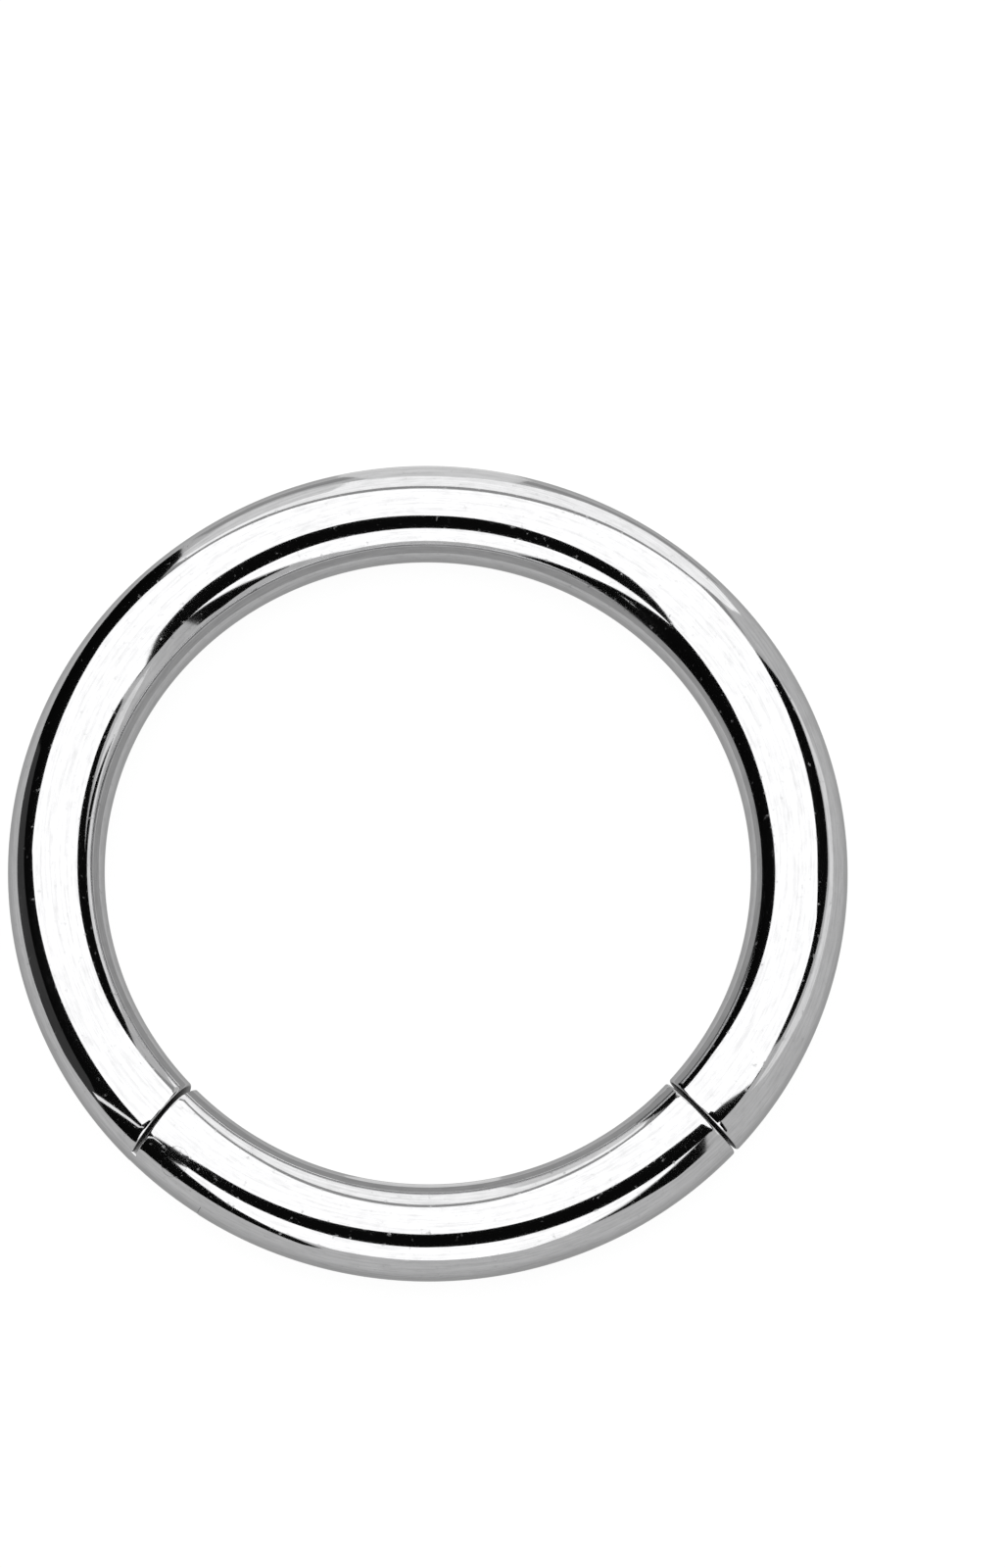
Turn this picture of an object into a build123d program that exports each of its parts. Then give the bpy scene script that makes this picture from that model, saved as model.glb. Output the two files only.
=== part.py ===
from build123d import *
from math import asin, cos, degrees, hypot, radians, sin
import os

# A closed hinged segment ring of polished steel wire, lying on its side.
# The origin is the centre of the hole, at the level of the surface that the ring lies on.
# +Z is up through the hole, and -Y points at the middle of the segment that swings open.
# Angles are in degrees about +Z, from +X towards +Y. All sizes are in millimetres.

# The wire
wire_diameter = 1.2
inner_diameter = 8.0
edge_break = 0.03           # the small radius that polishing leaves on each cut end

# The segment: how much of the ring it takes, and how its two cuts lie
segment_angle = 92.9        # between the seams, along the middle of the wire
segment_middle = 270.0
clasp_lean = 3.1            # the clasp's cut leans this far from the ring's own radius
clasp_slant = 7             # and this far from the ring's axis
seam_gap = 0.04             # left between the two faces of a closed seam

# The hinge: a fork on the segment, a tongue on the ring body and a pin through both
pin_diameter = 0.34
pin_wall = 0.1              # metal between the pin and the outside of the ring
pin_running_gap = 0.02      # around the pin in the tongue, where it turns
pin_press_gap = 0.002       # around the pin in the ears, where it is held
ear_reach = 0.48            # from the pin's axis to the ears' ends
tongue_thickness = 0.4
tongue_side_gap = 0.02      # on each side of the tongue
tongue_end_gap = 0.03       # between the tongue's tip and the bottom of the slot
relief_depth = 0.06         # the ears' ends fall back this far at the hole's side
relief_length = 0.32        # and over this much of the wire's width

# The clasp: a small catch on the segment's free end and a pocket for it in the ring body
catch_length = 0.25
catch_width = 0.36          # across the wire, in the ring's own plane
catch_offset = 0.08         # its middle is this much nearer the hole than the wire's middle
catch_thickness = 0.36
catch_corner = 0.1
catch_gap = 0.03

# Places worked out from the sizes above
wire_radius = wire_diameter / 2
ring_radius = inner_diameter / 2 + wire_radius
pin_radius = pin_diameter / 2
pin_cover = pin_wall + pin_radius               # from the pin's axis to the outside of the ring
pin_circle = ring_radius + wire_radius - pin_cover
shoulder_reach = ear_reach + seam_gap           # from the pin's axis to the ring body's shoulder
slot_reach = hypot(shoulder_reach, pin_cover) + tongue_end_gap
tip_reach = slot_reach - tongue_end_gap
seam_setback = degrees(asin((ear_reach + seam_gap / 2) / ring_radius))
hinge_angle = segment_middle - segment_angle / 2
clasp_angle = segment_middle + segment_angle / 2
pin_angle = hinge_angle + seam_setback
far = 2 * (ring_radius + wire_radius)           # past the whole ring from anywhere on it
beside = 2 * wire_diameter                      # past the wire, but not as far as its other side


def cut_plane(angle, radius, cut_angle):
    # x runs along the wire towards larger angles, y outwards along the cut
    point = (radius * cos(radians(angle)), radius * sin(radians(angle)), wire_radius)
    along = (-sin(radians(cut_angle)), cos(radians(cut_angle)), 0)
    return Plane(origin=point, x_dir=along, z_dir=(0, 0, -1))


hinge = cut_plane(pin_angle, pin_circle, pin_angle)
clasp = cut_plane(clasp_angle, ring_radius, clasp_angle - clasp_lean)
clasp_cut = clasp * Rot(0, clasp_slant, 0)      # the faces lie in it, and the catch stays level


def block(plane, x, y, thickness):
    # a block between two x and two y places of a plane, centred on the ring's middle level
    size = Box(x[1] - x[0], y[1] - y[0], thickness)
    return plane * Pos((x[0] + x[1]) / 2, (y[0] + y[1]) / 2, 0) * size


def rod(radius):
    return hinge * Cylinder(radius, 2 * wire_diameter)


def whole_ring():
    return Pos(0, 0, wire_radius) * Torus(ring_radius, wire_radius)


def between_cuts(hinge_x, clasp_x):
    # all that lies between a cut at the hinge and a cut at the clasp
    past_hinge = block(hinge, (hinge_x, hinge_x + far), (-far, far), far)
    before_clasp = block(clasp_cut, (clasp_x - far, clasp_x), (-far, far), far)
    return past_hinge & before_clasp


def broken_ends(arc):
    # the rims of both cut ends get their small polished radius
    rims = arc.faces().filter_by(GeomType.PLANE).edges()
    return fillet(rims, edge_break)


def pivot(neck, reach, thickness):
    # round about the pin, with a neck of the same reach towards the hole
    return block(hinge, (-neck, 0), (-reach, beside), thickness) + hinge * Cylinder(reach, thickness)


def tongue():
    return whole_ring() & pivot(shoulder_reach + edge_break, tip_reach, tongue_thickness)


def pocket():
    # its outer wall leans as the catch leaves it, along a circle about the pin
    arm = clasp.origin - hinge.origin
    leaving = Vector(arm.Y, -arm.X, 0)
    rise = -leaving.dot(clasp.y_dir) / leaving.dot(clasp.x_dir)
    end = catch_length - seam_gap / 2 + catch_gap
    half_width = catch_width / 2 + catch_gap
    outline = Polygon(
        (-beside, -catch_offset - half_width),
        (end, -catch_offset - half_width),
        (end, half_width - catch_offset),
        (-beside, half_width - catch_offset + rise * (beside + end)),
        align=None,
    )
    return extrude(clasp * outline, catch_thickness / 2 + catch_gap, both=True)


def ring_body():
    body = broken_ends(whole_ring() - between_cuts(-shoulder_reach, seam_gap / 2))
    return body + tongue() - rod(pin_radius + pin_running_gap) - pocket()


def fork_cuts():
    # the slot for the tongue, and the ears' ends, cut to swing past the shoulder
    slot = pivot(beside, slot_reach, tongue_thickness + 2 * tongue_side_gap)
    swing = ear_reach + seam_gap / 2
    corner = block(hinge, (-beside, 0), (0, beside), 2 * wire_diameter) - rod(swing)
    hole_side = pin_cover - wire_diameter
    relief = hinge * Polygon(
        (-ear_reach, hole_side + relief_length),
        (-ear_reach - relief_depth, hole_side + relief_length),
        (-ear_reach - relief_depth, hole_side - wire_diameter),
        (-ear_reach + relief_depth * (1 + wire_diameter / relief_length), hole_side - wire_diameter),
        align=None,
    )
    return slot + corner + extrude(relief, wire_diameter, both=True)


def catch():
    # it stands out of the segment's end by its length, and is rooted inside the wire
    root = wire_radius / 2
    plate = Box(root + catch_length, catch_width, catch_thickness)
    plate = fillet(plate.edges().filter_by(Axis.Z).group_by(Axis.X)[-1], catch_corner)
    return clasp * Pos((catch_length - root) / 2 - seam_gap / 2, -catch_offset, 0) * plate


def hinged_segment():
    segment = broken_ends(whole_ring() & between_cuts(-ear_reach, -seam_gap / 2))
    return segment - fork_cuts() - rod(pin_radius + pin_press_gap) + catch()


def hinge_pin():
    # its ends follow the round of the wire
    return whole_ring() & rod(pin_radius)


parts = {
    "ring_body": ring_body(),
    "hinged_segment": hinged_segment(),
    "hinge_pin": hinge_pin(),
}

os.makedirs("parts", exist_ok=True)
for name, shape in parts.items():
    solids = shape.solids()
    piece = solids[0] if len(solids) == 1 else Compound(solids)
    piece.label = name
    export_step(piece, f"parts/{name}.step")
    box = piece.bounding_box()
    print(name, len(solids), "solid", round(piece.volume, 4), "mm3", box.min, box.max)

print("pin axis", round(hinge.origin.X, 4), round(hinge.origin.Y, 4), "slot reach", round(slot_reach, 4))
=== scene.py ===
import bmesh
import bpy
from math import asin, atan2, cos, hypot, pi, radians, sin, tan
from mathutils import Matrix, Vector


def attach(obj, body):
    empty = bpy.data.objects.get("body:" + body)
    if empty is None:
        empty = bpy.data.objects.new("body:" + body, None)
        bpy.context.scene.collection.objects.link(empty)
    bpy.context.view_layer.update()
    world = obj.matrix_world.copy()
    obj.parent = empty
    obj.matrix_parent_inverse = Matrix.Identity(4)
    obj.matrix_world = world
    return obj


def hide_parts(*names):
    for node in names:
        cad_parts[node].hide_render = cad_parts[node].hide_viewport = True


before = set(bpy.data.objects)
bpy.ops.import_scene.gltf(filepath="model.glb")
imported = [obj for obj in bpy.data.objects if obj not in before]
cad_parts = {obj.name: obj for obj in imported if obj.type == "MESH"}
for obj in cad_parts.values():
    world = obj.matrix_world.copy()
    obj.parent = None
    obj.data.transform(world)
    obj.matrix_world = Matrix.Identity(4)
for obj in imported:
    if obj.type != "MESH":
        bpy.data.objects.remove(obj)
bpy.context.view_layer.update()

# The pieces are modelled in millimetres and brought to metres when they are finished
mm = 0.001
wireRadius = 0.6
ringRadius = 4.6                      # of the wire's middle line
# the clasp's cut leans from the ring's radius and slants from its axis, both in degrees
segment = {"angle": 92.9, "middle": 270.0, "claspLean": 3.1, "claspSlant": 7.0, "seamGap": 0.04,
           "edgeBreak": 0.03}
pin = {"radius": 0.17, "wall": 0.1, "runningGap": 0.02, "pressGap": 0.002, "span": 0.4}
ears = {"reach": 0.48, "slotWidth": 0.44, "reliefDepth": 0.06, "reliefLength": 0.32}
# the tongue is cut from a span of wire on each side of the pin, and lies a skin's depth under the surface
tongue = {"reach": 0.602, "neck": 0.7, "thickness": 0.432, "endGap": 0.006, "skin": 0.004, "span": 0.8}
catch = {"length": 0.25, "root": 0.32, "width": 0.36, "offset": 0.08, "thickness": 0.36, "corner": 0.1,
         "gap": 0.03}
roundSides = 96
edgeSteps = 5
smoothAngle = radians(35)
weld = 0.00005                        # how close the points are that a cut leaves double
past = 2 * wireRadius                 # outside the wire from anywhere in it
halfGap = segment["seamGap"] / 2

pinCover = pin["wall"] + pin["radius"]
shoulderReach = ears["reach"] + segment["seamGap"]
slotReach = tongue["reach"] + tongue["endGap"]
swing = ears["reach"] + halfGap
claspAngle = radians(segment["middle"] + segment["angle"] / 2)
claspCut = claspAngle - radians(segment["claspLean"])
claspShift = ringRadius * sin(radians(segment["claspLean"]))      # from the ring's axis to the cut
claspSlant = radians(segment["claspSlant"])
pinAngle = radians(segment["middle"] - segment["angle"] / 2) + asin(swing / ringRadius)


def cutFrame(angle, radius, cutAngle):
    # x runs along the wire towards larger angles, y outwards along the cut, z down
    along, out = (-sin(cutAngle), cos(cutAngle), 0), (cos(cutAngle), sin(cutAngle), 0)
    turn = Matrix((along, out, (0, 0, -1))).transposed().to_4x4()
    return Matrix.Translation((radius * cos(angle), radius * sin(angle), wireRadius)) @ turn


hinge = cutFrame(pinAngle, ringRadius + wireRadius - pinCover, pinAngle)
clasp = cutFrame(claspAngle, ringRadius, claspCut)


def cutLine(direction, offset, slant=0.0):
    # the angle at which a straight cut beside that direction meets each radius and height
    return lambda reach, height: direction + asin((offset / cos(slant) - height * tan(slant)) / reach)


def wireArc(first, last, steps, radius=wireRadius, edgeBreak=0.0):
    # a circle spun about the hole by one radian, then turned until both ends lie in their own cuts
    bm = bmesh.new()
    upright = Matrix.Translation((ringRadius, 0, wireRadius)) @ Matrix.Rotation(pi / 2, 4, "X")
    bmesh.ops.create_circle(bm, segments=roundSides, radius=radius, matrix=upright)
    bmesh.ops.spin(bm, geom=bm.verts[:] + bm.edges[:], axis=(0, 0, 1), cent=(0, 0, 0), angle=1, steps=steps)
    bmesh.ops.holes_fill(bm, edges=[edge for edge in bm.edges if edge.is_boundary], sides=0)
    for vert in bm.verts:
        part = atan2(vert.co.y, vert.co.x)
        at = hypot(vert.co.x, vert.co.y), vert.co.z - wireRadius
        vert.co.rotate(Matrix.Rotation(first(*at) * (1 - part) + last(*at) * part - part, 3, "Z"))
    bmesh.ops.recalc_face_normals(bm, faces=bm.faces)
    if edgeBreak:
        rims = [edge for edge in bm.edges if edge.calc_face_angle() > radians(60)]
        bmesh.ops.bevel(bm, geom=rims, offset=edgeBreak, offset_type="OFFSET", segments=edgeSteps,
                        profile=0.5, affect="EDGES", material=-1)
    return bm


def plate(place, outline, thickness):
    bm = bmesh.new()
    face = bm.faces.new([bm.verts.new((x, y, -thickness / 2)) for x, y in outline])
    made = bmesh.ops.extrude_face_region(bm, geom=[face])["geom"]
    top = [item for item in made if isinstance(item, bmesh.types.BMVert)]
    bmesh.ops.translate(bm, vec=(0, 0, thickness), verts=top)
    bmesh.ops.transform(bm, matrix=place, verts=bm.verts)
    bmesh.ops.recalc_face_normals(bm, faces=bm.faces)
    return bm


def rod(place, radius):
    bm = bmesh.new()
    bmesh.ops.create_cone(bm, segments=roundSides, radius1=radius, radius2=radius, depth=2 * past,
                          cap_ends=True, matrix=place)
    return bm


def rounded(centre, radius, start, end, steps=12):
    angles = [radians(start + (end - start) * step / steps) for step in range(steps + 1)]
    return [(centre[0] + radius * cos(a), centre[1] + radius * sin(a)) for a in angles]


def pivotOutline(neck, reach):
    # round about the pin, with a neck of the same reach towards the hole
    return [(-neck, -reach), *rounded((0, 0), reach, -90, 90, steps=48), (0, past), (-neck, past)]


def solid(name, bm):
    mesh = bpy.data.meshes.new(name)
    bm.to_mesh(mesh)
    bm.free()
    made = bpy.data.objects.new(name, mesh)
    bpy.context.collection.objects.link(made)
    return made


def combine(piece, operation, bm):
    tool = solid("tool", bm)
    change = piece.modifiers.new("change", "BOOLEAN")
    change.operation, change.object, change.solver = operation, tool, "EXACT"
    ready = piece.evaluated_get(bpy.context.evaluated_depsgraph_get())
    result = bpy.data.meshes.new_from_object(ready)
    piece.modifiers.clear()
    piece.data = result
    bpy.data.objects.remove(tool)


class Signal:
    # a shader socket that takes part in Python sums
    def __init__(self, tree, port=None):
        self.tree, self.port = tree, port

    def node(self, kind, settings, inputs, output=0):
        made = self.tree.nodes.new("ShaderNode" + kind)
        for name, value in settings.items():
            setattr(made, name, value)
        for name, value in inputs.items():
            if isinstance(value, Signal):
                self.tree.links.new(value.port, made.inputs[name])
            else:
                made.inputs[name].default_value = value
        return Signal(self.tree, made.outputs[output] if made.outputs else None)

    def sum(self, operation, first, second=0.0):
        return self.node("Math", {"operation": operation}, {0: first, 1: second})

    def __add__(self, other):
        return self.sum("ADD", self, other)

    def __mul__(self, other):
        return self.sum("MULTIPLY", self, other)

    def __sub__(self, other):
        return self.sum("SUBTRACT", self, other)

    def __rsub__(self, other):
        return self.sum("SUBTRACT", other, self)

    def __pow__(self, other):
        return self.sum("POWER", self, other)

    __radd__, __rmul__ = __add__, __mul__


def newMaterial(name):
    material = bpy.data.materials.new(name)
    material.use_nodes = True
    material.node_tree.nodes.clear()
    return material, Signal(material.node_tree)


# What the buffing wheel leaves: how many marks there are to the millimetre, along the wire and across it
# or all ways, from where to where their noise fades in, and how much rougher, greyer and higher they are
hairline = {"along": 0.9, "across": 34, "detail": 3, "coarse": 0.6, "from": 0.35, "to": 0.65,
            "roughness": 0.06, "grey": 0.5, "height": 0.012}
smudge = {"along": 4.5, "across": 13, "detail": 3, "coarse": 0.65, "from": 0.42, "to": 0.68,
          "roughness": 0.015, "grey": 0.35}
speck = {"perMm": 14, "detail": 1, "coarse": 0.5, "from": 0.66, "to": 0.8,
         "roughness": 0.22, "grey": 0.3, "pit": 0.01}
cloud = {"perMm": 0.9, "detail": 4, "coarse": 0.6, "roughness": 0.02}
wave = {"perMm": 0.7, "detail": 1, "coarse": 0.4, "height": 0.0016}
# It doesn't reach into the seams, this far below the wire's surface: the steel there is rougher, and its
# colour is darkened as painted shade in the seams, by the tone given here
seamSteelAndShade = {"from": 0.008, "to": 0.03, "roughness": 0.3, "tone": 0.35}
wornTone = 0.72
rimTone = 0.86                        # where the steel is seen at a glancing angle


def steel(name, colour, roughness):
    # mirror polish with slight waves, hairlines along the wire, faint smudges and a few specks, and painted
    # shade deep in the seams
    material, shader = newMaterial(name)
    place = shader.node("TexCoord", {}, {}, "Object")
    x, y, z = (shader.node("SeparateXYZ", {}, {"Vector": place}, axis) * (1 / mm) for axis in "XYZ")
    seam = pinAngle - asin(swing / ringRadius)
    ahead = x * -cos(seam) + y * -sin(seam)
    aside = x * sin(seam) + y * -cos(seam)
    outwards = (x * x + y * y) ** 0.5 - ringRadius
    upwards = z - wireRadius
    along = shader.sum("ARCTAN2", aside, ahead) * ringRadius
    around = shader.sum("ARCTAN2", upwards, outwards) * wireRadius
    depth = wireRadius - (outwards * outwards + upwards * upwards) ** 0.5

    def noise(mark, at, scale):
        return shader.node("TexNoise", {}, {"Vector": at, "Scale": scale,
                                            "Detail": mark["detail"], "Roughness": mark["coarse"]})

    def drawn(mark):
        # its marks lie along the wire
        at = shader.node("CombineXYZ", {}, {"X": along * mark["along"], "Y": around * mark["across"]})
        return noise(mark, at, 1)

    def even(mark):
        return noise(mark, place, mark["perMm"] / mm)

    def fadedIn(mark, value):
        return shader.node("MapRange", {}, {"Value": value, "From Min": mark["from"], "From Max": mark["to"]})

    def darker(factor, plain, tone):
        dark = (*(part * tone for part in colour), 1.0)
        return shader.node("Mix", {"data_type": "RGBA"}, {0: factor, 6: plain, 7: dark}, 2)

    hairlines = drawn(hairline)
    streaked = fadedIn(hairline, hairlines)
    smudged = fadedIn(smudge, drawn(smudge))
    specks = fadedIn(speck, even(speck))
    # painted shade: deep in the seams the colour is darkened to stand in for shade, and the steel is also
    # rougher there
    machinedAndShaded = fadedIn(seamSteelAndShade, depth)
    rough = (roughness + hairlines ** 3.0 * hairline["roughness"] + smudged * smudge["roughness"]
             + even(cloud) * cloud["roughness"] + specks * speck["roughness"]
             + machinedAndShaded * seamSteelAndShade["roughness"])
    height = even(wave) + hairlines * hairline["height"] - specks * speck["pit"]
    bump = shader.node("Bump", {}, {"Distance": wave["height"] * mm, "Height": height}, "Normal")
    greyed = streaked * hairline["grey"] + smudged * smudge["grey"] + specks * speck["grey"]
    worn = darker(greyed, (*colour, 1.0), wornTone)
    # the seams' colour is darkened here as painted shade
    surface = shader.node("BsdfPrincipled", {}, {"Base Color": darker(machinedAndShaded, worn, seamSteelAndShade["tone"]),
                                                 "Metallic": 1.0, "Roughness": rough, "Normal": bump,
                                                 "Specular Tint": (rimTone, rimTone, rimTone, 1.0)})
    shader.node("OutputMaterial", {}, {"Surface": surface})
    return material


def finish(piece, body, node, material):
    bm = bmesh.new()
    bm.from_mesh(piece.data)
    bmesh.ops.remove_doubles(bm, verts=bm.verts, dist=weld)
    bmesh.ops.scale(bm, vec=(mm, mm, mm), verts=bm.verts)
    for face in bm.faces:
        face.smooth = True
    for edge in bm.edges:
        edge.smooth = edge.is_manifold and edge.calc_face_angle() < smoothAngle
    loose = sum(not edge.is_manifold for edge in bm.edges)
    volume = bm.calc_volume() / mm ** 3
    print(piece.name, "faces", len(bm.faces), "open edges", loose, "volume", round(volume, 4))
    bm.to_mesh(piece.data)
    bm.free()
    even = piece.modifiers.new("even normals", "WEIGHTED_NORMAL")
    even.keep_sharp = True
    piece.data.materials.clear()
    piece.data.materials.append(material)
    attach(piece, body)
    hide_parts(node)


print("steel")
wireSteel = steel("polished steel", (0.62, 0.62, 0.625), 0.04)
pinSteel = steel("pin steel", (0.6, 0.6, 0.605), 0.05)

print("ring body")
start = cutLine(claspCut - 2 * pi, claspShift * cos(claspSlant) + halfGap, claspSlant)
end = cutLine(pinAngle, -shoulderReach)
body = solid("ring_wire", wireArc(start, end, steps=240, edgeBreak=segment["edgeBreak"]))
span = cutLine(pinAngle, -tongue["span"]), cutLine(pinAngle, tongue["span"])
tongueWire = solid("tongue", wireArc(*span, steps=24, radius=wireRadius - tongue["skin"]))
pivot = pivotOutline(tongue["neck"], tongue["reach"])
combine(tongueWire, "INTERSECT", plate(hinge, pivot, tongue["thickness"]))
tongueShape = bmesh.new()
tongueShape.from_mesh(tongueWire.data)
bpy.data.objects.remove(tongueWire)
combine(body, "UNION", tongueShape)
combine(body, "DIFFERENCE", rod(hinge, pin["radius"] + pin["runningGap"]))
# the pocket for the catch: its outer wall leans as the catch leaves it, along a circle about the pin
fromPin = clasp.translation - hinge.translation
leaving = Vector((fromPin.y, -fromPin.x, 0))
rise = -leaving.dot(clasp.col[1].xyz) / leaving.dot(clasp.col[0].xyz)
catchEnd = catch["length"] - halfGap
pocketEnd = catchEnd + catch["gap"]
halfWidth = catch["width"] / 2 + catch["gap"]
pocketInner, pocketOuter = -catch["offset"] - halfWidth, halfWidth - catch["offset"]
pocket = [(-past, pocketInner), (pocketEnd, pocketInner), (pocketEnd, pocketOuter),
          (-past, pocketOuter + rise * (past + pocketEnd))]
combine(body, "DIFFERENCE", plate(clasp, pocket, catch["thickness"] + 2 * catch["gap"]))
finish(body, "ring", "ring_body", wireSteel)

print("hinged segment")
start = cutLine(pinAngle, -ears["reach"])
end = cutLine(claspCut, claspShift * cos(claspSlant) - halfGap, claspSlant)
arm = solid("segment_wire", wireArc(start, end, steps=84, edgeBreak=segment["edgeBreak"]))
combine(arm, "DIFFERENCE", plate(hinge, pivotOutline(past, slotReach), ears["slotWidth"]))
# the ears' ends are round about the pin on the outside, and fall back at the hole's side
cornerOutline = [(-past, 0), *rounded((0, 0), swing, 180, 90, steps=24), (0, past), (-past, past)]
combine(arm, "DIFFERENCE", plate(hinge, cornerOutline, 2 * past))
holeSide = pinCover - 2 * wireRadius
reach, depth, length = ears["reach"], ears["reliefDepth"], ears["reliefLength"]
reliefOutline = [(-reach, holeSide + length), (-reach - depth, holeSide + length),
                 (-reach - depth, holeSide - past), (-reach + depth * (1 + past / length), holeSide - past)]
combine(arm, "DIFFERENCE", plate(hinge, reliefOutline, 2 * past))
combine(arm, "DIFFERENCE", rod(hinge, pin["radius"] + pin["pressGap"]))
catchOuter, catchInner = catch["width"] / 2 - catch["offset"], -catch["width"] / 2 - catch["offset"]
root, corner = catch["root"], catch["corner"]
catchOutline = [(-root, catchInner), *rounded((catchEnd - corner, catchInner + corner), corner, -90, 0),
                *rounded((catchEnd - corner, catchOuter - corner), corner, 0, 90), (-root, catchOuter)]
combine(arm, "UNION", plate(clasp, catchOutline, catch["thickness"]))
finish(arm, "segment", "hinged_segment", wireSteel)

print("hinge pin")
span = cutLine(pinAngle, -pin["span"]), cutLine(pinAngle, pin["span"])
pinRod = solid("pin_rod", wireArc(*span, steps=16))
combine(pinRod, "INTERSECT", rod(hinge, pin["radius"]))
finish(pinRod, "segment", "hinge_pin", pinSteel)

print("studio")


def glow(name, strength, diffuse=0.0, oneSided=False):
    material, shader = newMaterial(name)
    surface = shader.node("BsdfPrincipled", {}, {"Base Color": (diffuse, diffuse, diffuse, 1.0),
                                                 "Roughness": 0.9, "Specular IOR Level": 0.0,
                                                 "Emission Color": (1, 1, 1, 1),
                                                 "Emission Strength": strength})
    if oneSided:
        behind = shader.node("NewGeometry", {}, {}, "Backfacing")
        clear = shader.node("BsdfTransparent", {}, {})
        surface = shader.node("MixShader", {}, {0: behind, 1: surface, 2: clear})
    shader.node("OutputMaterial", {}, {"Surface": surface})
    return material


def reflected(name, bm, material, near=False):
    # only the steel sees it, and what stands near the ring takes no light from the floor
    made = solid(name, bm)
    made.data.materials.append(material)
    made.visible_camera = False
    made.visible_shadow = made.visible_diffuse = not near


def disc(radius):
    bm = bmesh.new()
    bmesh.ops.create_circle(bm, segments=64, radius=radius, cap_ends=True)
    return bm


def card(name, distance, material, outline):
    # metres away, outlined in degrees off straight up towards the ring's x and y; past 90 it is below
    bm = bmesh.new()
    bmesh.ops.triangulate(bm, faces=[bm.faces.new([bm.verts.new((x, y, 0)) for x, y in outline])])
    bmesh.ops.subdivide_edges(bm, edges=bm.edges, cuts=3, use_grid_fill=True)
    for vert in bm.verts:
        lean, turn = radians(hypot(vert.co.x, vert.co.y)), atan2(vert.co.y, vert.co.x)
        vert.co = Vector((sin(lean) * cos(turn), sin(lean) * sin(turn), cos(lean))) * distance
    reflected(name, bm, material)


def strip(name, x, material, corners):
    # a small card that stands close to the ring, upright and across x, in millimetres
    bm = bmesh.new()
    bm.faces.new([bm.verts.new((x * mm, y * mm, z * mm)) for y, z in corners])
    reflected(name, bm, material, near=True)


# Where one card stands behind another, only the nearer is seen
clothDiffuse = 0.004
black = glow("black cloth", 0.0, clothDiffuse)
card("overhead softbox", 0.45, glow("softbox", 1.8),
     [(-44, -26), (-54, -20), (-62, -10), (-65, 0), (-64, 10), (-58, 20), (-53, 30), (-50, 42), (-48, 55),
      (-40, 60), (-27, 61), (-14, 57), (-5, 51), (3, 48), (12, 51), (24, 57), (40, 58), (44, 46), (44, 36),
      (48, 26), (50, 16), (50, 4), (47, -6), (48, -18), (38, -14), (27, -8), (16, -5), (9, -13), (0, -18),
      (-10, -17), (-20, -14), (-32, -20)])
card("camera front", 0.5, black,
     [(-46, -28), (-30, -10), (0, -8), (20, 2), (30, -4), (50, -16), (48, -23), (38, -29), (27, -39),
      (12, -47), (-2, -49), (-16, -46), (-28, -39), (-38, -32)])
card("front panel", 0.55, glow("front light", 1.8),
     [(-46, -29), (-46, -42), (-43, -58), (-37, -70), (-24, -79), (-8, -82), (10, -82), (24, -80),
      (33, -70), (39, -54), (40, -38), (40, -24), (0, -20)])
card("left cloth", 0.6, black,
     [(-30, 60), (-38, 63), (-41, 78), (-47, 92), (-52, 108), (-62, 108), (-76, 88), (-88, 66), (-96, 46),
      (-102, 22), (-103, 0), (-100, -26), (-88, -44), (-72, -56), (-58, -66), (-46, -76), (-36, -86),
      (-29, -84), (-36, -70), (-42, -58), (-45, -42), (-45, -28), (-40, -20), (-30, 0)])
card("cloth fold", 0.59, glow("grey cloth", 0.06),
     [(-72, -24), (-78, 0), (-81, 22), (-78, 48), (-90, 60), (-98, 46), (-104, 22), (-105, 0), (-102, -26),
      (-88, -44)])
card("right flag", 0.6, black,
     [(44, 46), (44, 0), (46, -10), (54, -12), (59, -6), (65, 4), (70, 16), (70, 30), (65, 45), (58, 50),
      (50, 48)])
card("low right flag", 0.6, black,
     [(41, -26), (50, -35), (63, -48), (59, -57), (48, -60), (37, -66), (41, -54)])
card("back light", 0.65, glow("back light", 1.5),
     [(-34, 66), (-20, 65), (-8, 59), (2, 56), (14, 59), (26, 63), (42, 62), (54, 66), (66, 78), (63, 92),
      (50, 101), (34, 101), (20, 95), (6, 90), (-8, 92), (-22, 98), (-36, 96), (-42, 84), (-38, 70)])
card("dim back light", 0.64, glow("dim back light", 1.0),
     [(-12, 74), (-12, 94), (-22, 99), (-37, 97), (-43, 84), (-39, 72), (-26, 71)])
card("low back glow", 0.62, glow("low back glow", 1.0),
     [(-8, 90), (6, 88), (18, 94), (22, 110), (26, 130), (20, 150), (-12, 150), (-16, 130), (-12, 110)])
shade = glow("low shade", 0.45)
card("low left shade", 0.68, shade,
     [(-42, 98), (-30, 104), (-14, 104), (-8, 112), (-14, 122), (-34, 118), (-50, 112)])
card("low right shade", 0.68, shade,
     [(18, 106), (28, 101), (50, 105), (66, 97), (70, 104), (56, 116), (34, 116), (22, 122)])
card("right light", 0.65, glow("right light", 1.1),
     [(60, 50), (68, 52), (84, 40), (86, 12), (80, -14), (66, -24), (56, -24), (60, -14), (68, -2),
      (74, 14), (73, 32), (66, 46)])
card("grey gap", 0.7, glow("grey card", 0.42), [(-44, 50), (-50, 66), (0, 78), (50, 70), (46, 50)])
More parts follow.
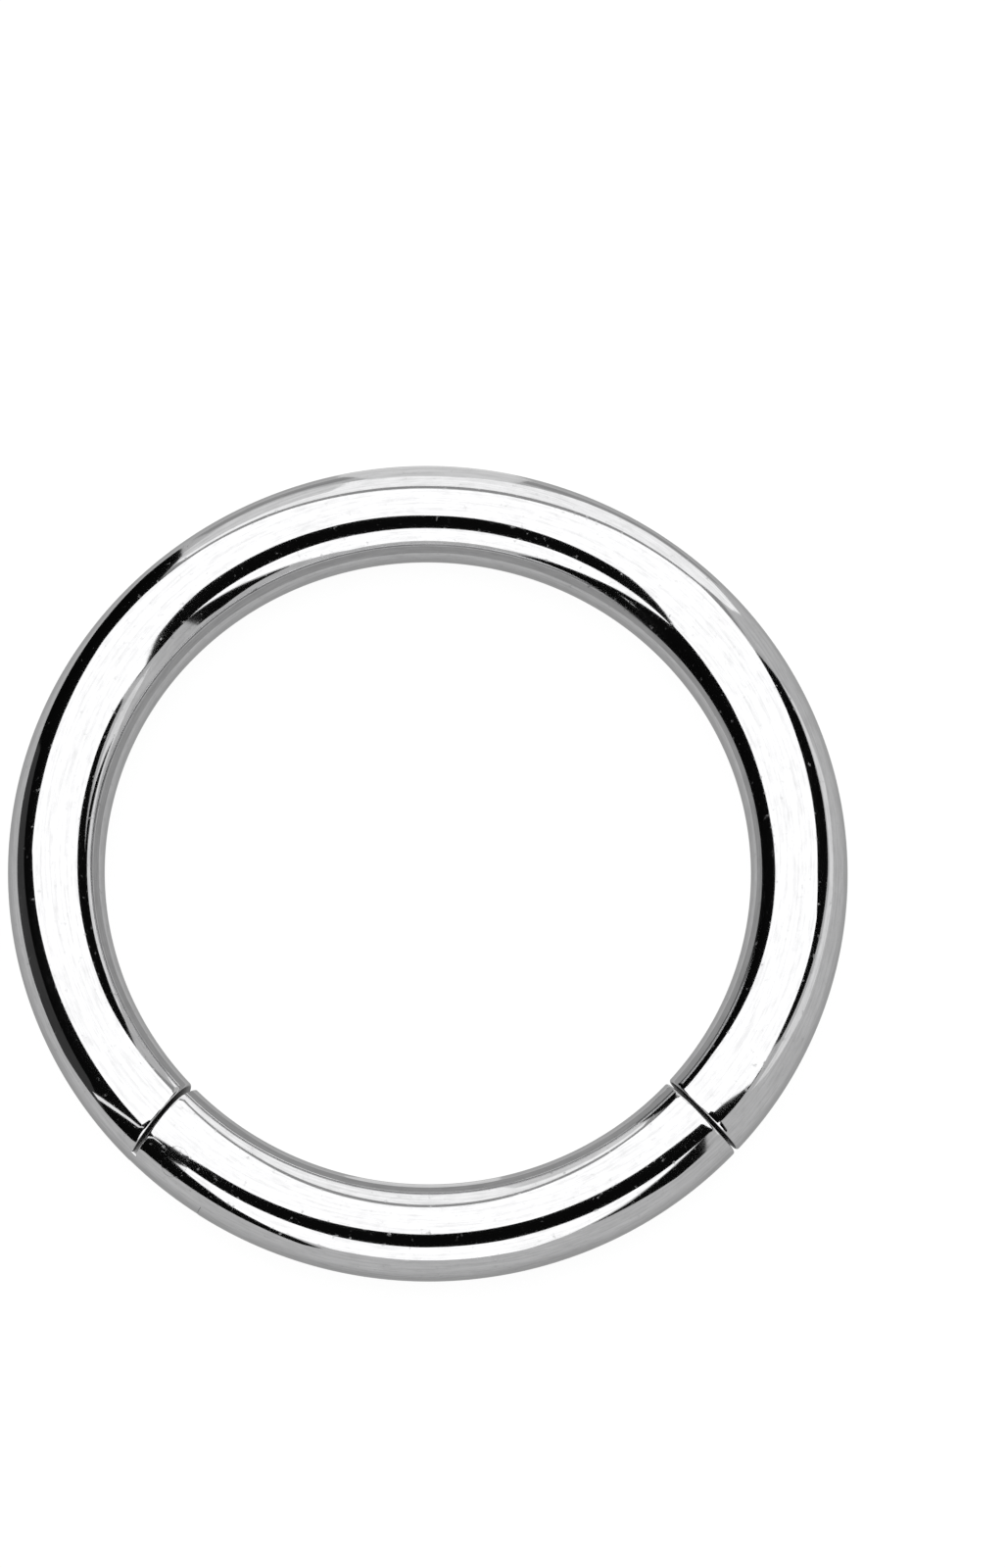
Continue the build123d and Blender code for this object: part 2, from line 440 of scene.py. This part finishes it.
# Close to the ring, the two sides of its wire see different things
strip("left strip", -9, black,
      [(1.6, 2.0), (1.6, 3.6), (0, 4.2), (-2.2, 5.1), (-4.4, 6.1), (-7, 7.6), (-9, 7.6), (-8, 2)])
strip("right strip", 9, black,
      [(-0.4, 4.2), (1.2, 3.6), (7, 3.6), (7.6, 4.2), (6.7, 4.6), (4.7, 5.3), (1.25, 5.7), (0.2, 5)])
strip("hole card", -0.2, glow("black card", 0.0, clothDiffuse, oneSided=True),
      [(0.4, 1.2), (0.55, 0.75), (0.72, 0.02), (1.2, 0.02), (1.35, 0.5), (1.4, 0.95), (1.4, 1.9),
       (0.4, 1.9)])
strip("light strip", -6.5, glow("light strip", 1.3),
      [(-3.8, 0.9), (-4, 0.9), (-4.95, 3.16), (-5.7, 4.8), (-5.5, 4.8), (-4.7, 3.16)])
# painted shadow: a dim glowing disc stands for the ring's shadow on the floor in its hole
reflected("hole floor", disc(2.7 * mm), glow("shaded floor", 0.45), near=True)

# The floor lights itself a little, so that it stays white, and the steel mirrors the room instead of it
floor = solid("floor", disc(1.5))
floor.data.materials.append(glow("pale floor", 0.93, diffuse=0.1))
floor.visible_glossy = False

# The room is grey, and darker far below
roomLight = {"below": 0.5, "around": 0.72, "from": -0.95, "to": -0.5}
world = bpy.data.worlds.new("room")
bpy.context.scene.world = world
world.use_nodes = True
world.node_tree.nodes.clear()
room = Signal(world.node_tree)
level = room.node("SeparateXYZ", {}, {"Vector": room.node("TexCoord", {}, {}, "Generated")}, "Z")
falling = room.node("MapRange", {}, {"Value": level,
                                     "From Min": roomLight["from"], "From Max": roomLight["to"],
                                     "To Min": roomLight["below"], "To Max": roomLight["around"]})
surround = room.node("Background", {}, {"Color": (1, 1, 1, 1), "Strength": falling})
room.node("OutputWorld", {}, {"Surface": surround})

# The camera: 15 degrees off the vertical, in front of the ring, and so far off that there is
# almost no perspective. The photograph's frame is in pixels, and the rest in millimetres.
view = {"back": (-0.01591, -0.2584, 0.96591), "roll": -0.01792, "distance": 300.0, "sensor": 24.0}
picture = {"width": 1027, "height": 1600, "perMm": 82.445, "ringAt": (436.8, 890.0)}
back = Vector(view["back"]).normalized()
right = Vector((0, 1, 0)).cross(back).normalized()
right.rotate(Matrix.Rotation(view["roll"], 3, back))
up = back.cross(right)
aside = (picture["width"] / 2 - picture["ringAt"][0]) / picture["perMm"]
above = (picture["ringAt"][1] - picture["height"] / 2) / picture["perMm"]
middle = Vector((0, 0, wireRadius)) + right * aside + up * above
lens = bpy.data.cameras.new("camera")
lens.sensor_fit = "VERTICAL"
lens.sensor_height = view["sensor"]
lens.lens = view["sensor"] * view["distance"] * picture["perMm"] / picture["height"]
lens.clip_start, lens.clip_end = 0.001, 10
camera = bpy.data.objects.new("camera", lens)
bpy.context.collection.objects.link(camera)
turned = Matrix((right, up, back)).transposed().to_4x4()
camera.matrix_world = Matrix.Translation((middle + back * view["distance"]) * mm) @ turned
bpy.context.scene.camera = camera
bpy.context.scene.view_settings.view_transform = "Standard"
